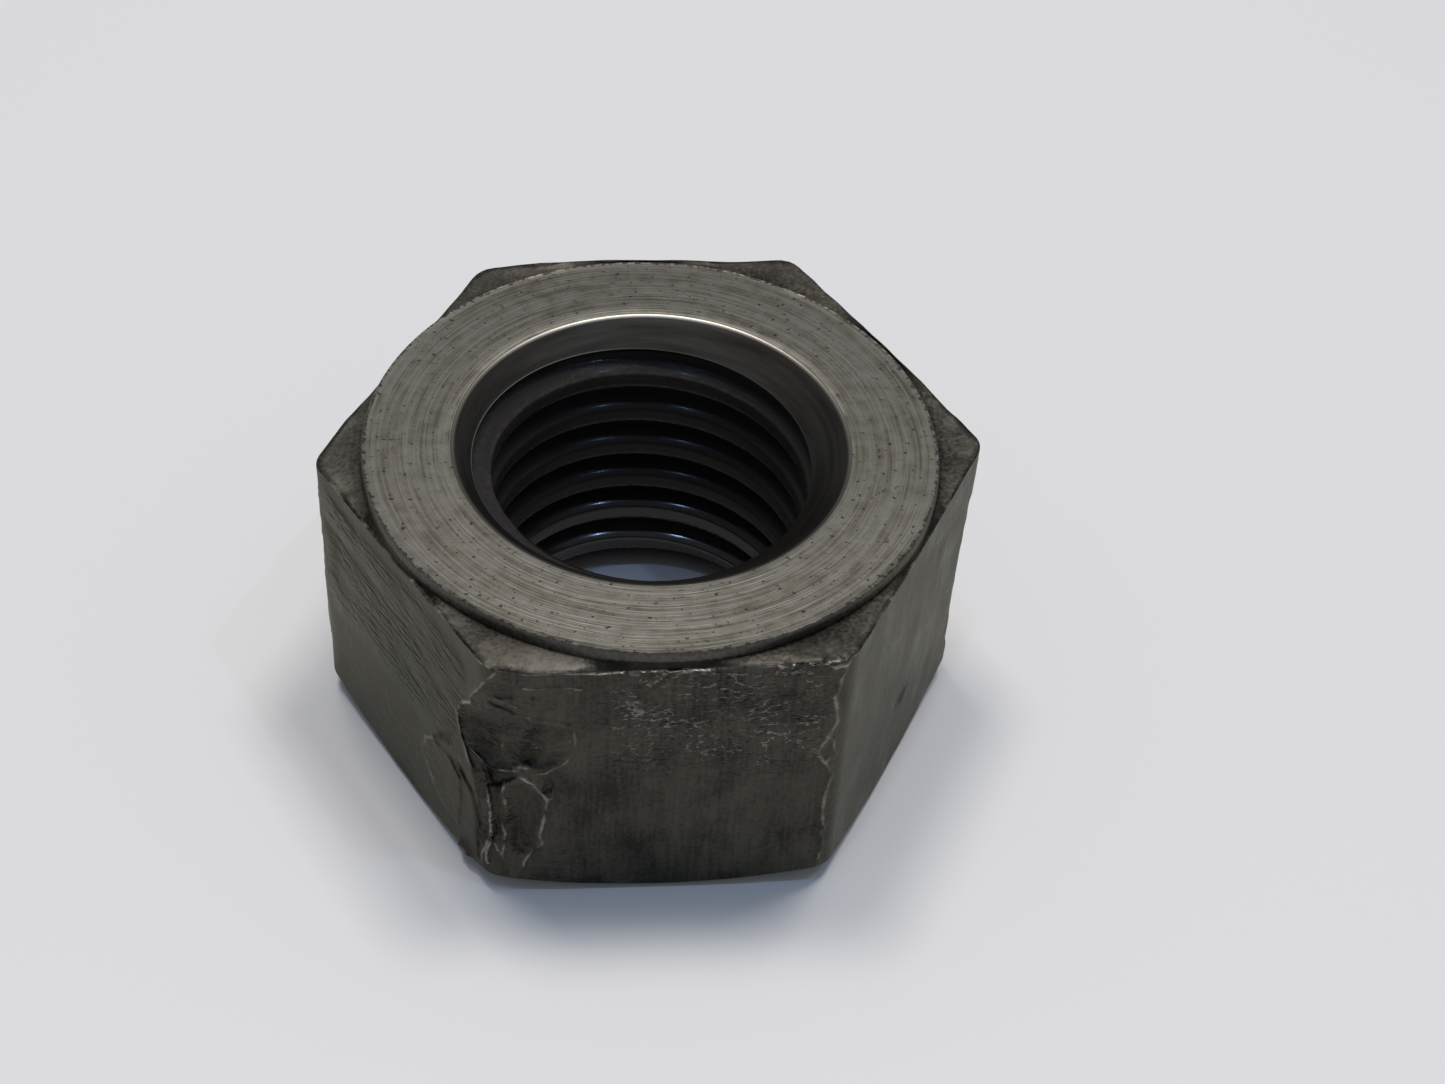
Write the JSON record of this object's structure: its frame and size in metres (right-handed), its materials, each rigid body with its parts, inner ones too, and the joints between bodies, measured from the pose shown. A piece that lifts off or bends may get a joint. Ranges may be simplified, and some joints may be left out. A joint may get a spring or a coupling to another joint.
{
  "type": "hex nut",
  "caption": "Hexagonal steel nut with a right-hand thread, a raised round bearing face on one side and chamfered corners on the other.",
  "frame": {"origin": "centre of the chamfered lower face, on the thread's axis", "axes": "+Z along the thread towards the raised bearing face, +X through a corner of the hexagon, +Y square to a flat"},
  "size_m": [0.0348, 0.0304, 0.018],
  "materials": {
    "worn_steel": "hot-forged steel dulled by handling, with a turned bearing face and an oiled cut thread"
  },
  "bodies": {
    "root": {"hex_nut": "worn_steel"}
  },
  "joints": []
}
